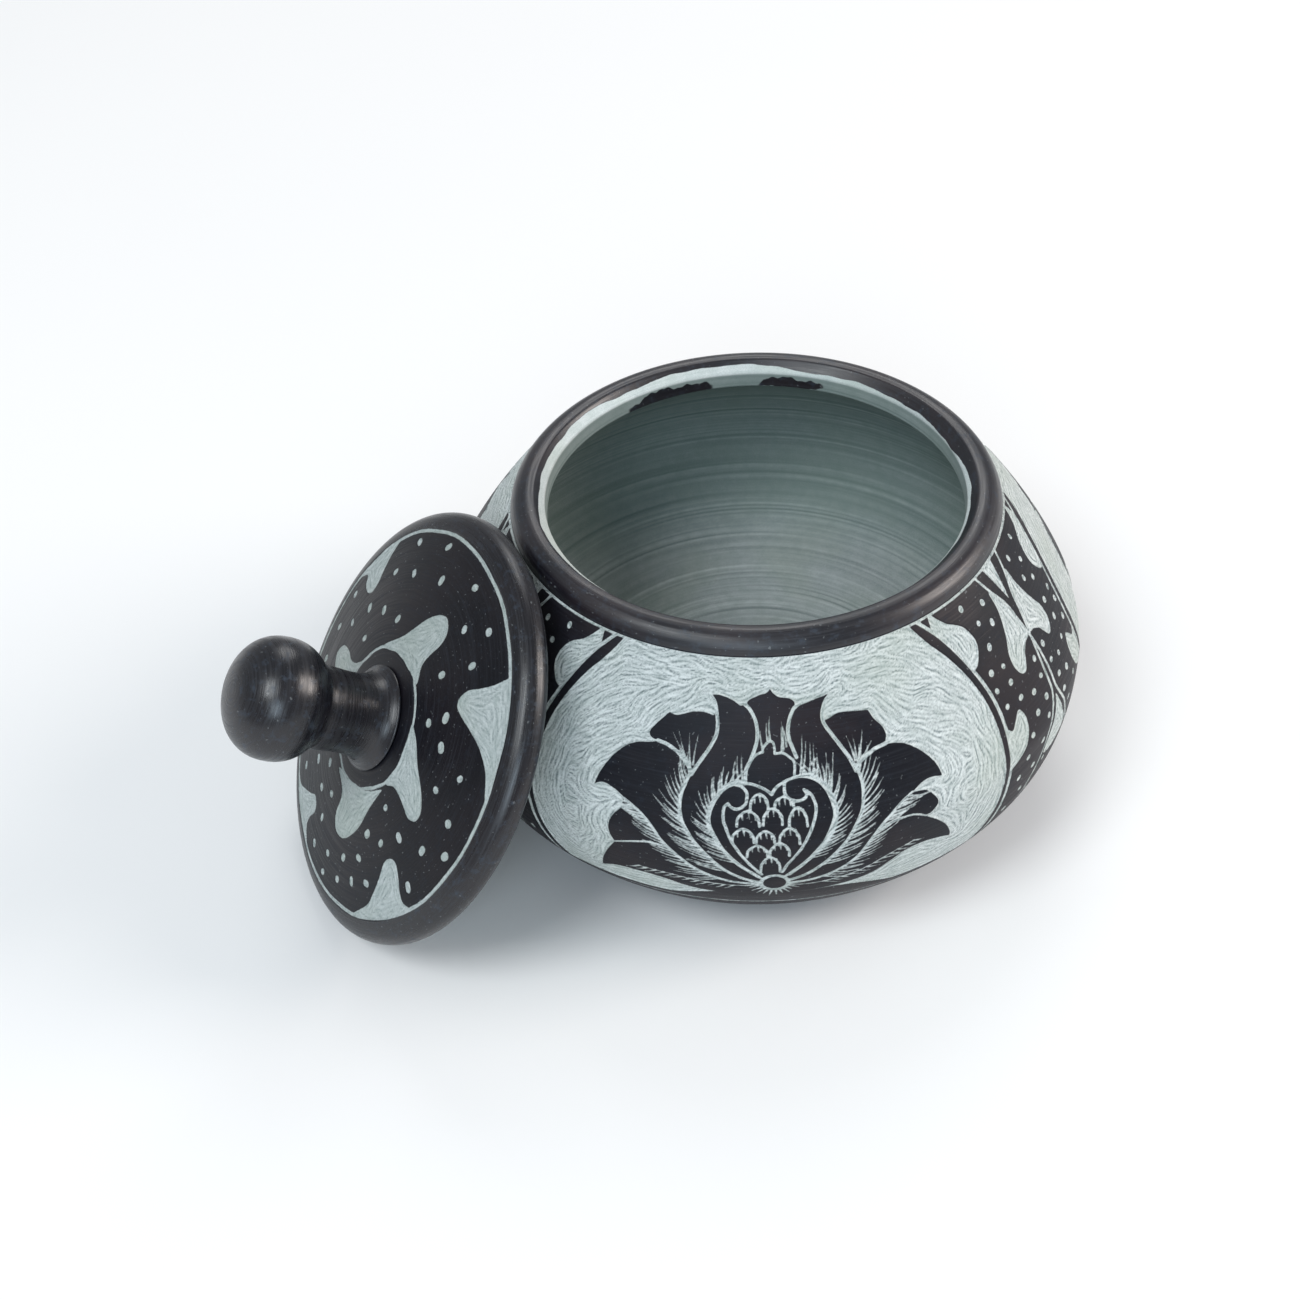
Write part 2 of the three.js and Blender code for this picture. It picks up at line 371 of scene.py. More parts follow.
SPINE_4_LEFT = [(-30.6, 28.3), (-28.6, 29.2), (-26.1, 30.2), (-23.3, 31), (-21, 30.8)]
SPINE_4_RIGHT = [(29.4, 33), (27.5, 34.2), (25.7, 34.6), (22.6, 34.4), (20.1, 33.2)]
SPINE_5_LEFT = [(-26, 22.6), (-20, 22.2), (-14, 21.2), (-8, 20.6), (-2.6, 20.9)]
SPINE_5_RIGHT = [(27, 27), (22, 25.2), (17, 22.6), (11, 20.9), (6, 20.4), (2.7, 20.9)]

PETAL_LINES = [
    [(-6, 62.3), (-4.4, 60.9), (-3.3, 58.8), (-2.9, 56.6), (-3.1, 54.6), (-3.7, 52.8),
     (-4.5, 50.8), (-5.2, 49.3), (-5.4, 47)],
    [(6.3, 61.7), (5, 60.8), (4, 59), (3.5, 57), (3.6, 55.3), (4.1, 53.6), (4.9, 51.4)],
    [(-13.5, 63.6), (-12.2, 62), (-11.6, 59.7), (-11.3, 57.5), (-11.6, 55.5), (-12.8, 53),
     (-14.3, 50.6), (-16, 47.6)],
    [(14.7, 63.2), (13, 62.3), (11.7, 60.9), (11, 58.8), (11.3, 57.1), (12.6, 54.9),
     (14.2, 52.2), (15.5, 49.8), (16.5, 47)],
    [(-15.8, 47.8), (-17.2, 49.8), (-19.2, 51.6), (-21.5, 52.7), (-23.5, 53.1)],
    [(16.6, 47.9), (18.5, 49.2), (20.8, 50.3), (23.4, 50.8)],
]
BULB_LINES = [
    [(-4.3, 50.9), (-3.6, 51.9), (-2.7, 52.5), (-1.8, 52.8)],
    [(-1.9, 53.2), (-1.4, 54.1), (-0.5, 54.8), (0.2, 54.6), (0.5, 53.8), (0.5, 52.5)],
    [(0.5, 52.4), (2.2, 52.4), (3.4, 51.6), (4.2, 50.8), (4.4, 49.5), (4.2, 47.7)],
]
# Fine upright strokes: foot, then tip.
HAIRS = [((-2, 53.6), (-2.2, 57)), ((-0.9, 55), (-1, 58.5)), ((-0.3, 55), (-0.35, 59.7)),
         ((1.9, 52.8), (2, 57.3)), ((2.4, 53), (2.2, 58.6)), ((3, 53.6), (2.4, 57.6)),
         ((-5.9, 47), (-6.1, 52.6)), ((-6.7, 47), (-7, 52)), ((-7.7, 47.2), (-7.4, 51.3)),
         ((5.4, 48), (6.3, 55.9)), ((5.9, 48), (7, 54.3)), ((7.2, 47.8), (7.8, 54)),
         ((7.9, 47.6), (8.5, 53.8)), ((8.7, 46.9), (9, 51.8)), ((10.2, 45.6), (10.9, 51.6)),
         ((11.1, 44.6), (12.3, 51.4)), ((-16.4, 49.4), (-20.7, 55.4)), ((-16.6, 49), (-19.5, 56)),
         ((-16.3, 49.4), (-17.1, 55.7)), ((-15.8, 49.5), (-15.2, 55.5)), ((16.6, 49), (15.5, 54.2)),
         ((16.9, 49), (16.8, 54.2)), ((17.3, 49), (19.1, 54.8)), ((17.4, 48.7), (20.6, 52.1))]

CALYX = (0.1, 21.6)
CALYX_RADIUS = 2.5
FOOT_BAND = 11.0            # top of the plain dark band above the foot
# The dark ground that rises from that band to the petals.
GROUND = [(-32, 10), (-22, 13), (-14, 16.4), (-8, 17.6), (8, 17.8), (16, 17), (24, 13.8), (33, 10)]

# ---- the dotted panel between two medallions, x from the crossing straps' axis ----
WING = [(-5.4, 66), (-5.7, 62), (-7.6, 57), (-9.2, 54), (-9.4, 51), (-8.2, 48.7), (-6.6, 48.2),
        (-5.2, 50), (-4.2, 51.5), (-2.2, 52.8), (-0.6, 53.4), (-1.4, 58), (-2.6, 62), (-5, 66.6)]
CLOUD_TOP = [(-26, 71.5), (-22.3, 67.6), (-18.4, 65.2), (-16.6, 62.2), (-16.8, 59.4), (-19.4, 56.4),
             (-22.6, 57.4), (-25, 60), (-27, 66)]
CLOUD_MIDDLE = [(-20.4, 42.5), (-17.8, 41.4), (-16.2, 40.2), (-14.6, 41.8), (-13, 43.1),
                (-11.8, 41.2), (-11.7, 38), (-13.1, 34.8), (-15, 33.2), (-17.2, 32), (-20.3, 30.6)]
STRAP = [(-7, 71.5), (-4.6, 66.5), (-2.1, 62), (-1.1, 57.5), (-0.1, 53), (0.6, 48), (0.9, 43)]
LEG = [(-0.9, 43), (-1, 39), (-3.3, 33.5), (-6.2, 27), (-10.5, 20), (-14, 14)]
GUSSET = [(-2.8, 71.5), (0, 62), (2.8, 71.5)]
TENT = [(0, 38), (-2.4, 32), (-5.4, 26), (0, 24.5), (5.4, 26), (2.4, 32), (0, 38)]
DOTS = [(-16, 67.8), (-9.1, 66.3), (-13.1, 63.5), (-9.3, 61.1), (-13.3, 58.4), (-16.3, 53.5),
        (-12.2, 53), (-16.6, 49.8), (-12.1, 48.8), (-2.6, 48.6), (-15.5, 45.4), (-11, 44.6),
        (-6.8, 43.2), (-2.7, 44.6), (-3.6, 40), (-7.9, 38.6), (-10.5, 35), (-4.3, 35.6),
        (-12.1, 30.4), (-6.8, 31.2), (-15.2, 26.5), (-9.7, 26.2), (-13.5, 21.8), (-5.2, 24),
        (-17, 18.5), (-9, 18.6)]


def feathers(sheet, spine, side, length, gap):
    """Fine strokes that leave a spine on one side and sweep towards its tip."""
    line = even_steps(curve(spine), gap)
    count = len(line)
    for index in range(int(0.05 * count), int(0.8 * count)):
        here = line[index]
        along = line[max(index - 1, 0)] - line[min(index + 1, count - 1)]
        along /= np.hypot(*along) + 1e-9
        out = side * np.array([along[1], -along[0]])
        reach = length * random.uniform(0.7, 1.15)
        lean = random.uniform(0.8, 1.2)
        middle = here + 0.5 * reach * (0.74 * out + 0.94 * lean * along)
        tip = here + reach * (0.66 * out + lean * along)
        sheet.line(curve([here, middle, tip], 4), 0.42, 0.16)


def draw_flower(sheet):
    """The lotus: a dark silhouette left standing, with pale lines and feathering cut into it."""
    right = [curve(run) for run in RIGHT_RUNS]
    left = [curve(run) for run in LEFT_RUNS]
    sheet.leave(np.vstack(right + [run[::-1] for run in reversed(left)]))
    for line in PETAL_LINES:
        sheet.line(curve(line), 0.75)
    for line in BULB_LINES:
        sheet.line(curve(line), 0.5)
    for foot, tip in HAIRS:
        bow = (np.array(foot) + tip) / 2 + (0.12 * np.sign(foot[0] + 0.1), 0)
        sheet.line(curve([foot, bow, tip], 4), 0.38, 0.14)
    for line in (HEART_LEFT, HEART_RIGHT, CURL_LEFT, CURL_RIGHT, INNER_LEFT, INNER_RIGHT):
        sheet.line(curve(line), 0.6)
    for spine, width in ((SPINE_1_LEFT, 1.0), (SPINE_1_RIGHT, 1.0), (SPINE_2_LEFT, 1.0),
                         (SPINE_2_RIGHT, 1.0), (SPINE_3_LEFT, 0.9), (SPINE_3_RIGHT, 0.9),
                         (SPINE_4_LEFT, 0.7), (SPINE_4_RIGHT, 0.7),
                         (SPINE_5_LEFT, 0.4), (SPINE_5_RIGHT, 0.4)):
        sheet.line(curve(spine), width * 0.55, width * 0.8)
    for left_spine, right_spine, length, gap in (
            (SPINE_1_LEFT, SPINE_1_RIGHT, 3.9, 1.0), (SPINE_2_LEFT, SPINE_2_RIGHT, 5.2, 1.05),
            (SPINE_3_LEFT, SPINE_3_RIGHT, 4.6, 1.1), (SPINE_5_LEFT, SPINE_5_RIGHT, 2.4, 1.7)):
        feathers(sheet, left_spine, -1, length, gap)
        feathers(sheet, right_spine, 1, length, gap)
    for x, y, half, height in SCALES:
        arch = [(x - half, y - height), (x - 0.85 * half, y - 0.4 * height), (x, y),
                (x + 0.85 * half, y - 0.4 * height), (x + half, y - height)]
        sheet.line(curve(arch), 0.5)
        for offset in (-0.55, 0.05, 0.6):
            top = (x + offset * half, y - 0.2 - 0.5 * abs(offset))
            sheet.line(np.array([top, (top[0] + 0.15, top[1] - 1.5)]), 0.36, 0.2)


def draw_calyx(sheet):
    """The ring that the petals spring from, with short rays under it."""
    sheet.leave(circle(CALYX, CALYX_RADIUS)[:-1])
    sheet.line(circle(CALYX, CALYX_RADIUS + 0.1), 0.8)
    for angle in range(-160, -10, 15):
        out = np.array([math.cos(math.radians(angle)), math.sin(math.radians(angle))])
        start = CALYX + (CALYX_RADIUS + 0.3) * out
        sheet.line(np.array([start, CALYX + random.uniform(4.4, 5.8) * out]), 0.5, 0.2)


def in_panel(points, flip=1):
    """Points given from the crossing straps' axis, or their mirror image, on the sheet."""
    return np.array(points, float) * (flip, 1) + (REPEAT / 2, 0)


def draw_panel(sheet):
    """Half of the dotted panel, and its mirror image: clouds, wings and dots round two straps."""
    for flip in (1, -1):
        for shape in (WING, CLOUD_TOP, CLOUD_MIDDLE):
            sheet.scrape(curve(in_panel(shape, flip)))
        for line in (STRAP, LEG):
            sheet.line(curve(in_panel(line, flip)), 0.7)
        for dot in DOTS:
            spot = in_panel(dot, flip) + random.uniform(-0.3, 0.3, 2)
            radius = random.uniform(0.55, 0.75)
            lean = random.uniform(-0.5, 0.5, 2)
            sheet.line(np.array([spot, spot + 0.5 * lean]), 2 * radius)
    sheet.scrape(in_panel(GUSSET))
    sheet.scrape(curve(in_panel(TENT))[:-1])


def draw_wall(top):
    """One repeat of the wall's ornament, centred on a flower."""
    half = REPEAT / 2
    past = half + 5
    sheet = Sheet(-half, 0.0, half, top, REPEAT)
    draw_panel(sheet)
    field = curve(MEDALLION)
    border = curve(MEDALLION_LINE)
    sheet.leave(np.vstack([border, mirrored(border)[::-1]]))
    sheet.scrape(np.vstack([field, mirrored(field)[::-1]]))
    sheet.line(border, 0.85)
    sheet.line(mirrored(border), 0.85)
    draw_flower(sheet)
    sheet.line(np.array([(-past, top - 0.3), (past, top - 0.3)]), 0.8)
    sheet.leave(np.array([(-past, -1), (past, -1), (past, FOOT_BAND), (-past, FOOT_BAND)]))
    sheet.leave(curve(GROUND))
    sheet.line(np.array([(-past, FOOT_BAND), (past, FOOT_BAND)]), 0.7)
    draw_calyx(sheet)
    sheet.hatch(3.0, 0.16, 0.3)
    return sheet


# ---- the lid's ornament, seen from outside, y up the slope of the leaning disc ----
LID_SHEET = 46.0            # half the sheet's side, past the disc's edge
FACE_RING = 40.5
KNOB_RING = 14.9
RING_UNEVEN = ((2, 1.0, 1.0), (11, 0.35, 0.0), (19, 0.25, 2.0))
RING_CLOUDS = [
    [(-10.5, 11.5), (-6.5, 16.5), (-4.8, 20), (-3, 24), (-0.5, 26.8), (2, 27.5), (4.5, 26),
     (5.3, 23.5), (4.6, 20), (4.6, 17.3), (6.5, 13.9), (0, 14.7)],
    [(12.5, 8.5), (16, 7), (20, 4), (24, 1.5), (26.5, -1), (27.2, -3), (26.5, -4.6), (24.5, -5.3),
     (22, -4.5), (19.5, -3.9), (17, -4), (14.6, -5.2), (14.9, 0)],
    [(14.4, -7), (13.3, -13), (12.7, -18), (11, -22), (8.5, -25), (5.5, -26), (3.5, -25),
     (2.5, -22.5), (2.6, -19.5), (1, -17.4), (-3, -15.6), (4, -14.5), (10, -11.2)],
    [(-14, 4.5), (-17, 1.4), (-20, 0.2), (-23, 0.3), (-27, -1), (-28.8, -3.5), (-28, -5.3),
     (-25, -6.4), (-20, -6.2), (-16.5, -7.6), (-14, -9), (-15, -2)],
]
EDGE_CLOUDS = [
    [(-29.5, 28.2), (-32, 25), (-31.8, 21), (-30.5, 17.5), (-29, 14.5), (-29.2, 12), (-31, 10.7),
     (-34, 10.6), (-36.5, 11.8), (-39.4, 9.8), (-36, 19)],
    [(25.4, 31.6), (23.5, 28), (21.5, 25.5), (19.3, 23), (18.8, 20.5), (20, 19), (23, 18.6),
     (27, 18.3), (31, 17.5), (35, 15.5), (38.6, 12), (33, 23.4)],
    [(36, -18.6), (33.5, -19.5), (31.5, -18.5), (29.5, -16.5), (27.5, -15), (25.5, -15.3),
     (24.2, -17.5), (24.6, -21), (24.6, -25), (24, -29), (20.6, -34.8), (29.5, -27.8)],
    [(-6.5, -40), (-9.5, -36.8), (-9, -34), (-7.3, -31.5), (-7.5, -29.5), (-9.5, -28.5), (-12, -30),
     (-16, -32), (-20, -33.6), (-24, -32.7), (-15, -37.6)],
]
LID_DOTS = [(-14, 35), (-24.5, 29), (-8, 30.3), (-18, 25), (2, 36), (13.5, 33.5), (7.8, 29.5),
            (16, 26.7), (-25, 20.5), (-12, 17), (-19, 14.3), (-25.5, 10.3), (-19.5, 6.3),
            (-29.5, 3.5), (-36.8, 6.3), (-35.5, -1.8), (11, 20.2), (19, 15.7), (16, 11.8),
            (22.5, 11), (30.8, 10.3), (27.3, 4.3), (34.3, 1.9), (37.6, -3.5), (32, -7.2),
            (17.8, -8.8), (25, -10.2), (21, -15.3), (16, -17.3), (33, -15.8), (16.2, -23.5),
            (21.4, -25.6), (11, -28), (16.5, -29.5), (11.2, -33.7), (4.4, -32.6), (4.5, -37.6),
            (-3, -36.2), (-2.8, -29), (-7.5, -24.7), (-2, -22), (-14, -22.2), (-7.7, -18.2),
            (-20, -28.6), (-34, -9.5), (-27, -11), (-32, -17.5), (-21, -14.5), (-27, -22.5)]


def draw_lid():
    """The lid's face: clouds from both rings, the rings themselves and the dots."""
    sheet = Sheet(-LID_SHEET, -LID_SHEET, LID_SHEET, LID_SHEET)
    for shape in RING_CLOUDS + EDGE_CLOUDS:
        outline = curve(shape + shape[:1], 5)[:-1]
        sheet.scrape(outline)
    for radius, width, waver in ((FACE_RING, 0.75, 0.25), (KNOB_RING, 0.7, 0.3)):
        angle = np.radians(np.arange(0, 361, 4))
        uneven = radius + waver * wobble(angle, RING_UNEVEN + ((5, 0.6, radius),))
        sheet.line(np.stack([uneven * np.cos(angle), uneven * np.sin(angle)], -1), width)
    for x, y in LID_DOTS:
        lean = random.uniform(-0.35, 0.35, 2)
        sheet.line(np.array([(x, y) - lean, (x, y) + lean]), random.uniform(1.3, 1.7))
    sheet.hatch(2.4, 0.05, 0.16)
    return sheet


# ---- turned meshes ----
class Turned:
    """A mesh turned about an axis from an outline that starts and ends on it."""

    def __init__(self, name, outline, columns, origin, right, up):
        self.name = name
        self.outline = np.array(outline, float)
        self.columns = columns
        self.origin = np.array(origin, float)
        self.right = np.array(right, float)
        self.up = np.array(up, float)
        self.axis = np.cross(self.right, self.up)
        self.angle = np.arange(columns) * 2 * math.pi / columns
        steps = np.hypot(*np.diff(self.outline, axis=0).T)
        self.along = np.r_[0, np.cumsum(steps)]
        self.fields = {}

    def grid(self):
        """Each ring vertex's radius, height, angle and distance along the outline."""
        rings = self.outline[1:-1]
        shape = (len(rings), self.columns)
        radius = np.broadcast_to(rings[:, :1], shape)
        height = np.broadcast_to(rings[:, 1:], shape)
        along = np.broadcast_to(self.along[1:-1, None], shape)
        angle = np.broadcast_to(self.angle, shape)
        return radius, height, angle, along

    def build(self, sink, islands, burnished):
        """Makes the object: `sink` pushes the rings' vertices in, `islands` lay out the baked image,
        and the rows from the first to the last of `burnished` take the second material."""
        tangent = np.gradient(self.outline, axis=0)
        tangent /= np.hypot(*tangent.T)[:, None] + 1e-9
        normal = np.stack([tangent[:, 1], -tangent[:, 0]], -1)[1:-1]
        radius, height, angle, along = self.grid()
        radius = radius - sink * normal[:, :1]
        height = height - sink * normal[:, 1:]
        flat = (np.cos(angle)[..., None] * self.right + np.sin(angle)[..., None] * self.up)
        points = radius[..., None] * flat + height[..., None] * self.axis
        ends = self.outline[[0, -1], 1][:, None] * self.axis
        points = np.vstack([points.reshape(-1, 3), ends]) + self.origin
        rows, columns = len(self.outline) - 2, self.columns
        here = np.arange(columns)
        after = (here + 1) % columns
        ring = np.arange(rows - 1)[:, None] * columns
        quads = np.stack([ring + here, ring + after, ring + columns + after, ring + columns + here], -1)
        first = np.full(columns, rows * columns)
        start = np.stack([first, after, here], -1)
        last = np.full(columns, rows * columns + 1)
        top = (rows - 1) * columns
        end = np.stack([top + here, top + after, last], -1)
        loops = np.concatenate([start.ravel(), quads.ravel(), end.ravel()])
        sizes = np.r_[np.full(columns, 3), np.full(quads.size // 4, 4), np.full(columns, 3)]
        mesh = bpy.data.meshes.new(self.name)
        mesh.vertices.add(len(points))
        mesh.vertices.foreach_set("co", (points * MM).ravel())
        mesh.loops.add(len(loops))
        mesh.loops.foreach_set("vertex_index", loops.astype(np.int32))
        mesh.polygons.add(len(sizes))
        mesh.polygons.foreach_set("loop_start", np.r_[0, np.cumsum(sizes)[:-1]].astype(np.int32))
        mesh.polygons.foreach_set("use_smooth", np.ones(len(sizes), bool))
        row_of_face = np.repeat(np.arange(rows + 1), columns)
        shiny = (row_of_face >= burnished[0]) & (row_of_face < burnished[1])
        mesh.polygons.foreach_set("material_index", shiny.astype(np.int32))
        mesh.update(calc_edges=True)
        self.lay_out(mesh, islands)
        for name, values in self.fields.items():
            ends = np.stack([values[0].mean(0), values[-1].mean(0)])
            kind = "FLOAT_VECTOR" if values.ndim == 3 else "FLOAT"
            layer = mesh.attributes.new(name, kind, "POINT")
            data = np.concatenate([values.reshape(rows * columns, -1), ends.reshape(2, -1)])
            layer.data.foreach_set("vector" if values.ndim == 3 else "value",
                                   data.astype(np.float32).ravel())
        piece = bpy.data.objects.new(self.name, mesh)
        bpy.context.scene.collection.objects.link(piece)
        return piece

    def lay_out(self, mesh, islands):
        """One image place for every corner: strips round the axis, or discs seen along it."""
        rows, columns = len(self.outline) - 1, self.columns
        image = np.zeros((rows, columns, 4, 2))
        place = np.arange(columns)
        for first, last, strips, box in islands:
            left, bottom, right, top = box
            reach = self.along[[first, last]]
            for row in range(first, last):
                low, high = (self.along[[row, row + 1]] - reach[0]) / (reach[1] - reach[0])
                if strips:
                    share = columns // strips
                    strip = place // share
                    u0 = (place % share) / share
                    u = left + (right - left) * np.stack([u0, u0 + 1 / share], -1)
                    tall = (top - bottom) / strips
                    foot = bottom + strip * tall
                    v0 = foot + low * tall * 0.98
                    v1 = foot + high * tall * 0.98
                    corners = [(u[:, 0], v0), (u[:, 1], v0), (u[:, 1], v1), (u[:, 0], v1)]
                else:
                    inner, outer = (low, high) if first == 0 else (1 - low, 1 - high)
                    middle = np.array([(left + right) / 2, (bottom + top) / 2])
                    size = (right - left) / 2
                    turn = np.r_[self.angle, 2 * math.pi]
                    a, b = turn[:-1], turn[1:]
                    corners = [(middle[0] + size * k * np.cos(t), middle[1] + size * k * np.sin(t))
                               for k, t in ((inner, a), (inner, b), (outer, b), (outer, a))]
                for corner, (u_value, v_value) in enumerate(corners):
                    image[row, :, corner, 0] = u_value
                    image[row, :, corner, 1] = v_value
        start = image[0][:, [0, 2, 3]]
        end = image[-1][:, [0, 1, 3]]
        flat = np.concatenate([start.reshape(-1, 2), image[1:-1].reshape(-1, 2), end.reshape(-1, 2)])
        layer = mesh.uv_layers.new(name="OFBake")
        layer.data.foreach_set("uv", flat.astype(np.float32).ravel())


def turning_field(turned):
    """Coordinates whose noise is drawn out round the axis, without a seam."""
    radius, height, angle, along = turned.grid()
    return np.stack([radius * np.cos(angle), radius * np.sin(angle), along], -1)


def smooth_step(value, low, high):
    """0 up to low, 1 from high, and a soft rise between them."""
    t = np.clip((value - low) / (high - low), 0, 1)
    return t * t * (3 - 2 * t)


def wobble(angle, amounts):
    """A hand-made unevenness round the axis: (waves round, height, phase) each."""
    return sum(height * np.sin(waves * angle + phase) for waves, height, phase in amounts)


# ---- pieces ----
# Slip that ran inside the mouth: azimuth, distance below the mouth's edge, half length, half
# height and slant.
SLIP_RUNS = [(206, 2.9, 10.5, 2.1, 0.0), (169, 2.3, 7.5, 1.3, 0.03)]


LIP_RAGGED = ((3, 0.22, 1.0), (7, 0.2, 0.4), (13, 0.14, 2.0), (31, 0.05, 0.0), (47, 0.04, 1.0))
RUN_RAGGED = ((0.55, 0.35, 0.0), (1.3, 0.22, 1.0), (2.9, 0.14, 2.0))
# Waves round the rim of the painted highlight on the bare seat.
SEAT_HIGHLIGHT_WAVES = ((2, 1.0, 0.6), (5, 0.6, 0.0))
LIP_PAST_SEAT = 1.75        # how far past the seat's outer edge the slip reaches
LIP_SHORTER_LEFT = 0.8      # and how much less at the left, more at the right
HOLLOW_SHADE = 0.58          # painted shade: how dark the hollow is drawn, against the scraped wall
# Painted light: how much lighter the hollow's floor is drawn than its walls.
HOLLOW_FLOOR_LIGHT = 0.45


def pot_runs():
    """The pot's outline in runs: foot, foot's bevel, wall, rim, hollow and floor."""
    below_belly = (BELLY[0], BELLY[1] - BELLY_BELOW)
    above_belly = (BELLY[0], BELLY[1] + BELLY_ABOVE)
    wall = np.vstack([[FOOT_EDGE], bezier(FOOT_EDGE, WALL_START, below_belly, BELLY),
                      bezier(BELLY, above_belly, WALL_END, BAND)])
    crest = bezier(BAND, BAND_SIDE, (CREST[0] + CREST_HANDLE, HEIGHT), CREST)
    rim = np.vstack([[BAND], crest, [BEVEL], [MOUTH], [NECK]])
    above_cavity = (CAVITY[0], CAVITY[1] + CAVITY_ABOVE)
    below_cavity = (CAVITY[0], CAVITY[1] - CAVITY_BELOW)
    hollow = np.vstack([[NECK], bezier(NECK, CAVITY_TOP, above_cavity, CAVITY),
                        bezier(CAVITY, below_cavity, CAVITY_HEEL, FLOOR)])
    runs = [([(0.0, 0.0), (FOOT_RADIUS, 0.0)], FOOT_STEP),
            ([(FOOT_RADIUS, 0.0), FOOT_EDGE], PLAIN_STEP),
            (wall, WALL_STEP),
            (rim, EDGE_STEP),
            (hollow, HOLLOW_STEP),
            ([FLOOR, (0.0, FLOOR_CENTRE)], PLAIN_STEP)]
    return [even_steps(points, step) for points, step in runs]


def joined(runs):
    """Runs that each start where the last one ended as one outline, and each run's end in it."""
    outline = np.vstack([runs[0]] + [run[1:] for run in runs[1:]])
    return outline, np.cumsum([len(runs[0]) - 1] + [len(run) - 1 for run in runs[1:]])


def slip_runs(angle, along, mouth_along, cut):
    """The cut, with slip left where it ran over the mouth's edge."""
    for azimuth, below, wide, tall, slope in SLIP_RUNS:
        x = (angle - math.radians(azimuth)) * MOUTH[0]
        y = along - mouth_along - below - slope * x
        away = (1 - np.hypot(x / wide, (y + wobble(x, RUN_RAGGED)) / tall)) * tall
        cut = np.minimum(cut, -away)
    return cut


def pot_piece():
    """The pot, with its scraped wall, bare seat and turned hollow."""
    outline, ends = joined(pot_runs())
    _, bevel_end, wall_end, rim_end, _, last = ends
    pot = Turned("pot_turned", outline, COLUMNS, (0, 0, 0), (0, -1, 0), (1, 0, 0))
    radius, height, angle, along = pot.grid()
    wall_foot, wall_top, neck_along = pot.along[[bevel_end, wall_end, rim_end]]
    up = along - wall_foot
    sheet = draw_wall(wall_top - wall_foot)
    across = (angle - LOTUS_AZIMUTH) * UNROLLED_RADIUS
    across = (across + REPEAT / 2) % REPEAT - REPEAT / 2
    on_wall = (up > 0) & (along < wall_top)
    cut = np.where(on_wall, sheet.at(across, up, sheet.cut), -FAR)
    hatching = np.where(on_wall, sheet.at(across, up, sheet.hatching), 0.5)
    # The slip ends on the lip in a ragged line, and the bare seat and hollow follow.
    mouth_along = neck_along - math.hypot(MOUTH[0] - NECK[0], MOUTH[1] - NECK[1])
    seat_along = mouth_along - math.hypot(BEVEL[0] - MOUTH[0], BEVEL[1] - MOUTH[1])
    from_left = angle - math.radians(270)
    lip = seat_along + LIP_PAST_SEAT - LIP_SHORTER_LEFT * np.cos(from_left)
    lip += 1.4 * wobble(angle, LIP_RAGGED)
    cut = np.where(along > wall_top + 1.0, along - lip, cut)
    cut = slip_runs(angle, along, mouth_along, cut)
    # The bare seat drawn brighter than the body, more at some places round the rim: a painted highlight
    # on the bevel.
    seat_highlight = 0.3 + 0.12 * wobble(angle, SEAT_HIGHLIGHT_WAVES)
    tone = 1.0 + seat_highlight * smooth_step(along, seat_along - 0.4, seat_along + 0.3)
    # Painted shade: inside the mouth the hollow is drawn darker than the scraped wall.
    inside = smooth_step(along, mouth_along - 0.2, mouth_along + 0.5)
    tone = tone * (1 - inside) + HOLLOW_SHADE * inside
    # Painted light on the hollow's floor, which faces up towards the lamps.
    tone += HOLLOW_FLOOR_LIGHT * smooth_step(along, neck_along + 35.0, neck_along + 75.0)
    rings = random.standard_normal(len(pot.outline) - 2)
    sway = 0.05 * np.sin(angle * 3 + along * 0.7)
    grooves = np.clip(0.5 + (0.08 + sway) * rings[:, None], 0, 1)
    hatching = np.where(along > mouth_along, grooves, hatching)
    sunk = smooth_step(cut, -0.05, 0.3) * SINK * on_wall
    sunk += smooth_step(cut, 0.1, 0.6) * (1 - hatching) * SCRATCH * on_wall
    sunk += 0.05 * (1 - grooves) * inside
    pot.fields = {"cut": cut, "hatching": hatching, "tone": tone, "turning": turning_field(pot)}
    islands = [(0, bevel_end, 1, (0.0, 0.0, 1.0, 0.03)),
               (bevel_end, wall_end, 3, (0.0, 0.03, 1.0, 0.81)),
               (wall_end, rim_end, 1, (0.0, 0.81, 1.0, 0.87)),
               (rim_end, last, 1, (0.0, 0.87, 1.0, 1.0))]
    return pot.build(sunk, islands, (wall_end, rim_end))


def lid_frame():
    """The disc's own frame in millimetres, from the CAD disc and the way the lid lifts."""
    joint = frame["joints"][0]
    axis = np.array(joint["axis"], float)
    axis /= np.linalg.norm(axis)
    node = frame["nodes"]["lid"]
    places = np.array([tuple(node.matrix_world @ v.co) for v in node.data.vertices]) / MM
    heights = places @ axis
    middle = places.mean(0)
    origin = middle + axis * (heights.min() + LID_EDGE + PLUG_DEPTH - middle @ axis)
    right = np.cross((0, 0, 1), axis)
    right /= np.linalg.norm(right)
    return origin, right, np.cross(axis, right)


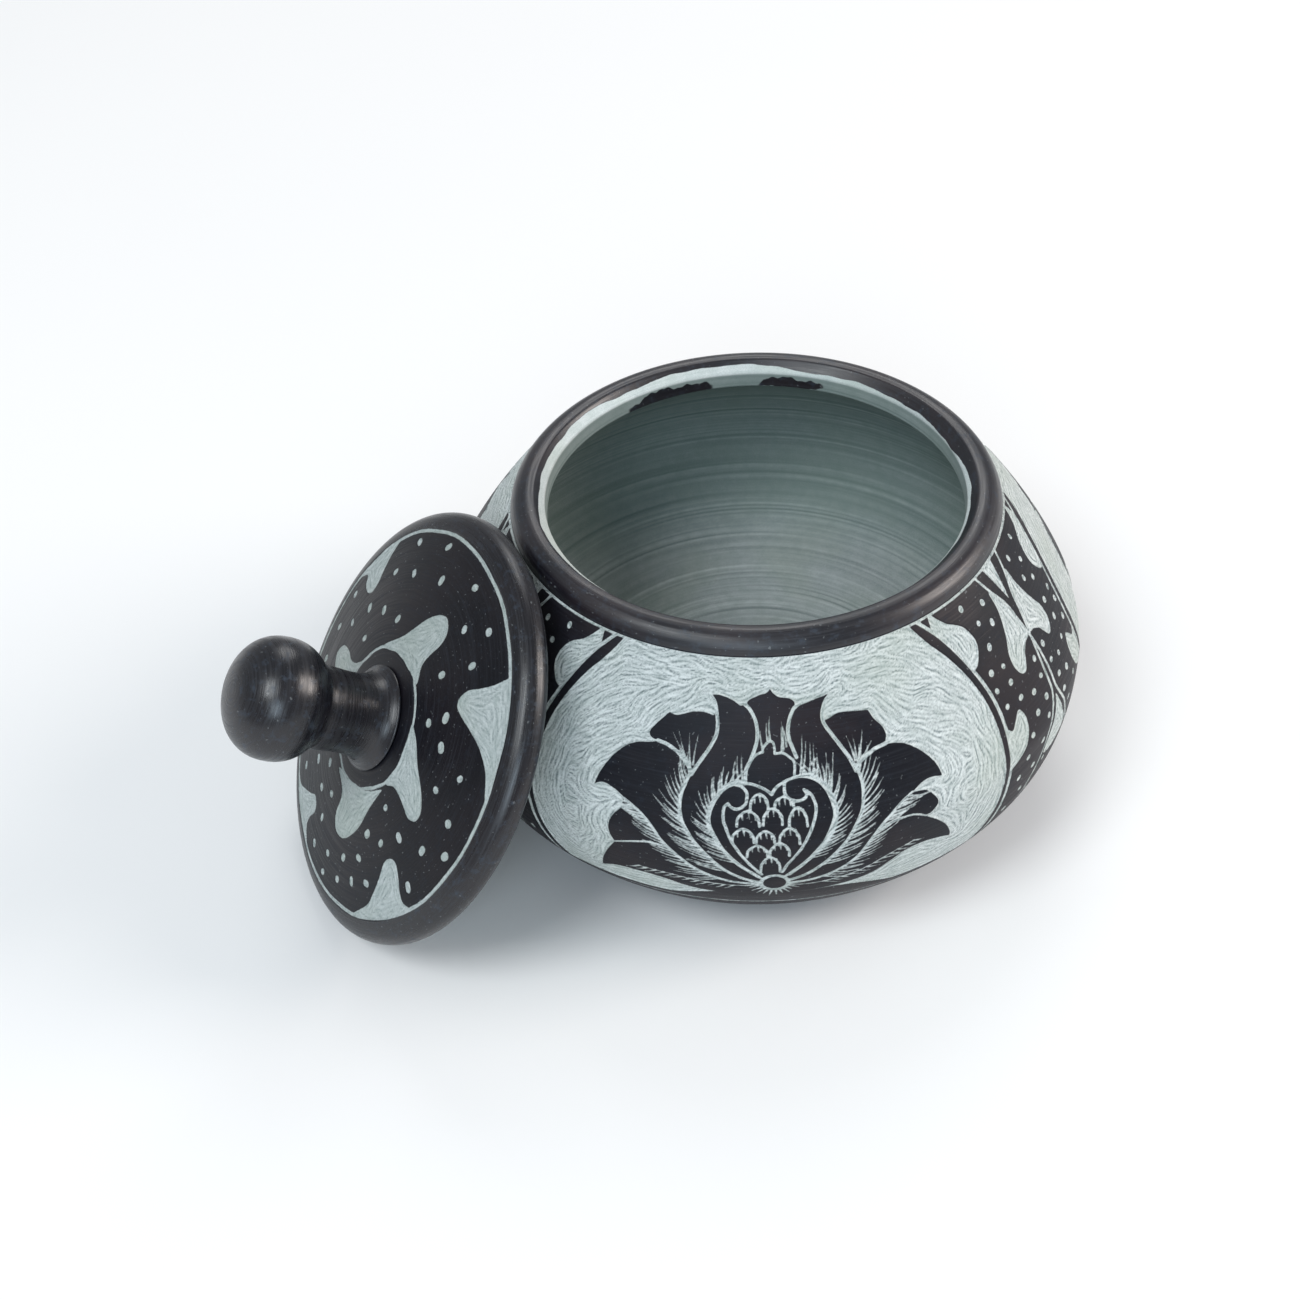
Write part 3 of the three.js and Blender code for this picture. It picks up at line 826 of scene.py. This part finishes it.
def lid_runs():
    """The disc's outline in runs: underside with plug and dish, rounded edge, face and crown."""
    plug_face = -LID_EDGE - PLUG_DEPTH
    dish_face = plug_face + DISH_DEPTH
    plug_foot = (PLUG_RADIUS, -LID_EDGE)
    rim = (LID_RADIUS, 0.0)
    under = [(0, dish_face), (DISH_RADIUS - DISH_DEPTH, dish_face), (DISH_RADIUS, plug_face),
             (PLUG_RADIUS - PLUG_CHAMFER, plug_face), (PLUG_RADIUS, plug_face + PLUG_CHAMFER), plug_foot]
    edge = np.vstack([[plug_foot], bezier(plug_foot, EDGE_UNDER[0], EDGE_UNDER[1], rim),
                      bezier(rim, EDGE_OVER[0], EDGE_OVER[1], FACE_EDGE)])
    face = np.vstack([[FACE_EDGE], bezier(FACE_EDGE, *FACE_DOME, FACE_TOP), [CROWN]])
    runs = [(under, PLAIN_STEP), (edge, EDGE_STEP), (face, FACE_STEP),
            ([CROWN, (0, CROWN_CENTRE)], CROWN_STEP)]
    return [even_steps(points, step) for points, step in runs]


def lid_piece():
    """The disc, with its scraped face and its bare underside."""
    outline, ends = joined(lid_runs())
    under_end, edge_end, _, last = ends
    origin, right, up = lid_frame()
    lid = Turned("lid_disc", outline, LID_COLUMNS, origin, right, up)
    radius, height, angle, along = lid.grid()
    sheet = draw_lid()
    x, y = radius * np.cos(angle), radius * np.sin(angle)
    on_face = along > lid.along[under_end + 1] + 6.0
    cut = np.where(on_face, sheet.at(x, y, sheet.cut), -FAR)
    hatching = np.where(on_face, sheet.at(x, y, sheet.hatching), 0.5)
    sunk = smooth_step(cut, -0.05, 0.3) * SINK
    sunk += smooth_step(cut, 0.1, 0.6) * (1 - hatching) * SCRATCH
    # The underside is bare, up to an uneven line just outside the plug.
    ragged = wobble(angle, ((5, 0.25, 0), (17, 0.15, 1)))
    cut = np.maximum(cut, lid.along[under_end] + 0.6 - along + ragged)
    tone = np.where(on_face, 0.84, 0.8)
    lid.fields = {"cut": cut, "hatching": hatching, "tone": tone, "turning": turning_field(lid)}
    islands = [(0, under_end, 0, (0.66, 0.01, 0.98, 0.33)),
               (under_end, last, 0, (0.01, 0.34, 0.66, 0.99))]
    return lid.build(sunk, islands, (under_end, edge_end))


def knob_piece():
    """The knob: a slightly squared ball on a waisted neck, plain slip all over."""
    start = -math.acos((CREASE_RADIUS / BALL_RADIUS) ** (BALL_POWER / 2))
    swing = np.linspace(start, math.pi / 2, 60)
    ball = np.stack([
        BALL_RADIUS * np.maximum(np.cos(swing), 0) ** (2 / BALL_POWER),
        BALL_HEIGHT + BALL_HALF * np.sign(swing) * np.abs(np.sin(swing)) ** (2 / BALL_POWER)], -1)
    ball[-1, 0] = 0.0
    foot = [(0, KNOB_BASE), (KNOB_FOOT[0] - 0.6, KNOB_BASE), (KNOB_FOOT[0] - 0.1, KNOB_BASE + 0.15)]
    stem = np.vstack([foot, [KNOB_FOOT], bezier(KNOB_FOOT, *FOOT_HANDLES, NECK_OF_KNOB),
                      bezier(NECK_OF_KNOB, *NECK_HANDLES, CREASE)])
    ball = even_steps(np.vstack([[CREASE], ball]), KNOB_STEP)
    outline = np.vstack([even_steps(stem, KNOB_STEP)[:-1], ball])
    origin, right, up = lid_frame()
    knob = Turned("knob_turned", outline, KNOB_COLUMNS, origin, right, up)
    radius, height, angle, along = knob.grid()
    ones = np.ones(radius.shape)
    knob.fields = {"cut": -FAR * ones, "hatching": 0.5 * ones, "tone": ones,
                   "turning": turning_field(knob)}
    last = len(knob.outline) - 1
    return knob.build(0.0 * ones, [(0, last, 1, (0.0, 0.0, 1.0, 1.0))], (0, last))


# ---- materials ----
def linear(red, green, blue):
    """An sRGB colour of 0 to 255 as the shader's linear one."""
    def channel(value):
        value /= 255
        return value / 12.92 if value <= 0.04045 else ((value + 0.055) / 1.055) ** 2.4
    return channel(red), channel(green), channel(blue), 1.0


class Nodes:
    """Short ways to lay out one material's nodes."""

    def __init__(self, name):
        self.material = bpy.data.materials.new(name)
        self.material.use_nodes = True
        self.tree = self.material.node_tree
        self.shader = self.tree.nodes["Principled BSDF"]

    def set(self, socket, value):
        """Links an output to the socket, or sets its value."""
        if isinstance(value, bpy.types.NodeSocket):
            self.tree.links.new(value, socket)
        else:
            socket.default_value = value

    def field(self, name, vector=False):
        """One of the mesh's own attributes."""
        node = self.tree.nodes.new("ShaderNodeAttribute")
        node.attribute_name = name
        return node.outputs["Vector" if vector else "Fac"]

    def math(self, operation, a, b=0.0, clamp=False):
        node = self.tree.nodes.new("ShaderNodeMath")
        node.operation = operation
        node.use_clamp = clamp
        self.set(node.inputs[0], a)
        self.set(node.inputs[1], b)
        return node.outputs[0]

    def stretched(self, vector, scale):
        node = self.tree.nodes.new("ShaderNodeMapping")
        self.set(node.inputs["Vector"], vector)
        node.inputs["Scale"].default_value = scale
        return node.outputs[0]

    def noise(self, vector, scale, detail=3.0, rough=0.5):
        node = self.tree.nodes.new("ShaderNodeTexNoise")
        self.set(node.inputs["Vector"], vector)
        node.inputs["Scale"].default_value = scale
        node.inputs["Detail"].default_value = detail
        node.inputs["Roughness"].default_value = rough
        return node.outputs["Fac"]

    def ramp(self, value, low, high, out_low=0.0, out_high=1.0):
        node = self.tree.nodes.new("ShaderNodeMapRange")
        node.interpolation_type = "SMOOTHSTEP"
        self.set(node.inputs["Value"], value)
        limits = {"From Min": low, "From Max": high, "To Min": out_low, "To Max": out_high}
        for name, number in limits.items():
            self.set(node.inputs[name], number)
        return node.outputs["Result"]

    def mix(self, factor, a, b, blend="MIX"):
        node = self.tree.nodes.new("ShaderNodeMix")
        node.data_type = "RGBA"
        node.blend_type = blend
        self.set(node.inputs[0], factor)
        self.set(node.inputs[6], a)
        self.set(node.inputs[7], b)
        return node.outputs[2]

    def bump(self, height, distance):
        node = self.tree.nodes.new("ShaderNodeBump")
        node.inputs["Distance"].default_value = distance
        self.set(node.inputs["Height"], height)
        return node.outputs[0]


# Slip: pale grey where streaked, a painted blue-grey sheen in patches, and specks where it is chipped.
STREAKED = (44, 47, 54)
SHEEN_BLUE = (52, 66, 82)
CHIPPED = (110, 114, 116)
# Body: between and on its scratches, then what stains it: earth, damp, dust, and green inside.
SCRATCH_DARK = (108, 119, 121)
SCRATCH_PALE = (219, 225, 224)
EARTHY = (168, 178, 162)
DAMP = (140, 154, 150)
DUSTY = (118, 134, 130)
HOLLOW_GREEN = (128, 160, 152)


def slipped_body(name, slip_dark, slip_warm, rough_slip, shine, sheen_amount):
    """Black slip, burnished on the wheel, over a pale body that shows where it is scraped."""
    n = Nodes(name)
    turning = n.field("turning", vector=True)
    hatching = n.field("hatching")
    tone = n.field("tone")
    ragged = n.noise(turning, 0.9, 3.0, 0.6)
    edge = n.math("ADD", n.field("cut"), n.math("MULTIPLY", n.math("SUBTRACT", ragged, 0.5), 0.22))
    bare = n.ramp(edge, -0.09, 0.09)

    streaks = n.noise(n.stretched(turning, (0.05, 0.05, 2.4)), 1.0, 4.0, 0.65)
    blotches = n.noise(turning, 0.045, 3.0, 0.5)
    grain = n.noise(turning, 4.5, 2.0, 0.6)
    specks = n.ramp(n.noise(turning, 1.35, 1.0, 0.4), 0.71, 0.78)

    slip = n.mix(n.ramp(blotches, 0.38, 0.66), linear(*slip_dark), linear(*slip_warm))
    slip = n.mix(n.ramp(streaks, 0.45, 0.8, 0.0, 0.5), slip, linear(*STREAKED))
    # Patches of painted sheen: a blue-grey highlight colour mixed into the slip, which is also a little
    # rougher there.
    sheen_patches = n.ramp(n.noise(turning, 0.5, 5.0, 0.72), 0.5, 0.72)
    slip = n.mix(n.math("MULTIPLY", sheen_patches, sheen_amount), slip, linear(*SHEEN_BLUE))
    slip = n.mix(n.math("MULTIPLY", specks, 0.55), slip, linear(*CHIPPED))

    stroke = n.math("ADD", n.math("MULTIPLY", hatching, 0.75), n.math("MULTIPLY", grain, 0.35))
    body = n.mix(n.ramp(stroke, 0.2, 0.85), linear(*SCRATCH_DARK), linear(*SCRATCH_PALE))
    body = n.mix(n.ramp(blotches, 0.4, 0.7, 0.0, 0.3), body, linear(*EARTHY))
    mottled = n.noise(turning, 0.35, 4.0, 0.6)
    body = n.mix(n.ramp(mottled, 0.3, 0.75, 0.0, 0.35), body, linear(*DAMP))
    body = n.mix(n.ramp(streaks, 0.4, 0.8, 0.0, 0.25), body, linear(*DUSTY))
    body = n.mix(n.ramp(tone, 0.6, 0.95, 0.4, 0.0), body, linear(*HOLLOW_GREEN))
    # tone brings painted light and shade into the colour: a highlight on the pot's seat, shade in its
    # hollow and light on the hollow's floor.
    body = n.mix(1.0, body, tone, "MULTIPLY")
    n.set(n.shader.inputs["Base Color"], n.mix(bare, slip, body))

    slip_rough = n.ramp(streaks, 0.3, 0.8, rough_slip - 0.08, rough_slip + 0.16)
    body_rough = n.ramp(grain, 0.2, 0.8, 0.72, 0.92)
    slip_rough = n.math("ADD", slip_rough, n.math("MULTIPLY", sheen_patches, sheen_amount * 0.3))
    rough = n.mix(bare, slip_rough, body_rough)
    n.set(n.shader.inputs["Roughness"], rough)
    n.shader.inputs["Specular IOR Level"].default_value = shine

    relief = n.mix(bare, n.math("MULTIPLY", streaks, 0.35), stroke)
    n.set(n.shader.inputs["Normal"], n.bump(relief, 0.00012))
    return n.material


def floor_material():
    """Plain pale floor with a barely seen unevenness."""
    n = Nodes("pale_floor")
    place = n.tree.nodes.new("ShaderNodeTexCoord").outputs["Object"]
    n.set(n.shader.inputs["Base Color"],
          n.mix(n.noise(place, 3.0), linear(240, 240, 240), linear(244, 244, 243)))
    n.shader.inputs["Roughness"].default_value = 0.9
    n.shader.inputs["Specular IOR Level"].default_value = 0.1
    return n.material


# ---- stage ----
FLOOR_HALF = 3.0
AIM = (0, 0, 0.03)
# Each lamp's place in metres, width, power and colour; all of them aim at the pot's middle.
LAMPS = {
    "key": ((-0.9, -0.9, 1.8), 1.0, 19.0, (0.92, 0.97, 1.0)),
    "front": ((-0.2, -1.7, 0.95), 0.9, 11.0, (0.72, 0.87, 1.0)),
    "side": ((1.6, 0.1, 0.85), 0.9, 20.0, (1.0, 0.92, 0.87)),
    "back": ((0.1, 1.3, 1.3), 0.9, 6.5, (1.0, 1.0, 1.0)),
}
EYE_ELEVATION = 36.88       # degrees the camera looks down at the rim
EYE_DISTANCE = 419.9        # millimetres from the rim's middle
EYE_TURNS = (-3.05, -4.42, -0.72)           # degrees of turn, tilt and roll from looking at it
LENS = 55.38


def add_floor():
    """A square of plain floor under the pot."""
    mesh = bpy.data.meshes.new("floor")
    corners = [(-1, -1), (1, -1), (1, 1), (-1, 1)]
    mesh.from_pydata([(FLOOR_HALF * x, FLOOR_HALF * y, 0) for x, y in corners], [], [(0, 1, 2, 3)])
    floor = bpy.data.objects.new("floor", mesh)
    floor.location.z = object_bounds()[0][2]
    mesh.materials.append(floor_material())
    bpy.context.scene.collection.objects.link(floor)


def add_light(name, place, size, power, colour):
    """A round soft lamp."""
    lamp = bpy.data.lights.new(name, "AREA")
    lamp.shape = "DISK"
    lamp.size = size
    lamp.energy = power
    lamp.color = colour
    light = bpy.data.objects.new(name, lamp)
    turn = (Vector(place) - Vector(AIM)).to_track_quat("Z", "Y")
    light.matrix_world = Matrix.Translation(place) @ turn.to_matrix().to_4x4()
    bpy.context.scene.collection.objects.link(light)


def add_lights():
    """Even pale surroundings and the lamps."""
    world = bpy.data.worlds.new("studio")
    world.use_nodes = True
    background = world.node_tree.nodes["Background"]
    background.inputs["Color"].default_value = (0.93, 0.96, 1.0, 1)
    background.inputs["Strength"].default_value = 0.4
    bpy.context.scene.world = world
    bpy.context.scene.view_settings.view_transform = "Standard"
    for name, (place, size, power, colour) in LAMPS.items():
        add_light(name, place, size, power, colour)


def turned_pair(first, second, angle):
    """Two square directions turned in their plane, the first towards the second."""
    return (first * math.cos(angle) + second * math.sin(angle),
            second * math.cos(angle) - first * math.sin(angle))


def add_camera():
    """The picture's eye, placed looking at the rim's middle and then turned, tilted and rolled."""
    elevation = math.radians(EYE_ELEVATION)
    yaw, pitch, roll = np.radians(EYE_TURNS)
    forward = np.array([0, math.cos(elevation), -math.sin(elevation)])
    up = np.array([0, math.sin(elevation), math.cos(elevation)])
    place = np.array([0, 0, BAND[1]]) - EYE_DISTANCE * forward
    forward, right = turned_pair(forward, np.array([1.0, 0, 0]), yaw)
    forward, up = turned_pair(forward, up, pitch)
    right, up = turned_pair(right, up, roll)
    lens = bpy.data.cameras.new("camera")
    lens.lens = LENS
    lens.sensor_width = 36.0
    camera = bpy.data.objects.new("camera", lens)
    matrix = Matrix.Identity(4)
    for column, vector in enumerate((right, up, -forward, place * MM)):
        for row in range(3):
            matrix[row][column] = vector[row]
    camera.matrix_world = matrix
    bpy.context.scene.collection.objects.link(camera)
    bpy.context.scene.camera = camera


add_camera()
add_lights()
add_floor()

# Each piece's slip colours, then how rough and shiny its plain and its burnished parts are, and how
# strong their patches of painted blue-grey sheen are.
PIECES = [
    (pot_piece, "pot_body", "pot", "pot_slip", (11, 13, 22), (32, 26, 31),
     (0.5, 0.22, 0.1), (0.36, 0.65, 0.4)),
    (lid_piece, "lid", "lid", "lid_slip", (10, 11, 18), (22, 19, 24),
     (0.42, 0.24, 0.1), (0.3, 0.55, 0.4)),
    (knob_piece, "lid_knob", "lid", "knob_slip", (12, 13, 20), (26, 23, 28),
     (0.3, 0.6, 0.45), (0.3, 0.6, 0.45)),
]
for make, node, body, slot, dark, warm, plain, burnished in PIECES:
    piece = make()
    piece.data.materials.append(slipped_body(slot + "_plain", dark, warm, *plain))
    piece.data.materials.append(slipped_body(slot + "_burnished", dark, warm, *burnished))
    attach(piece, body)
    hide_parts(node)
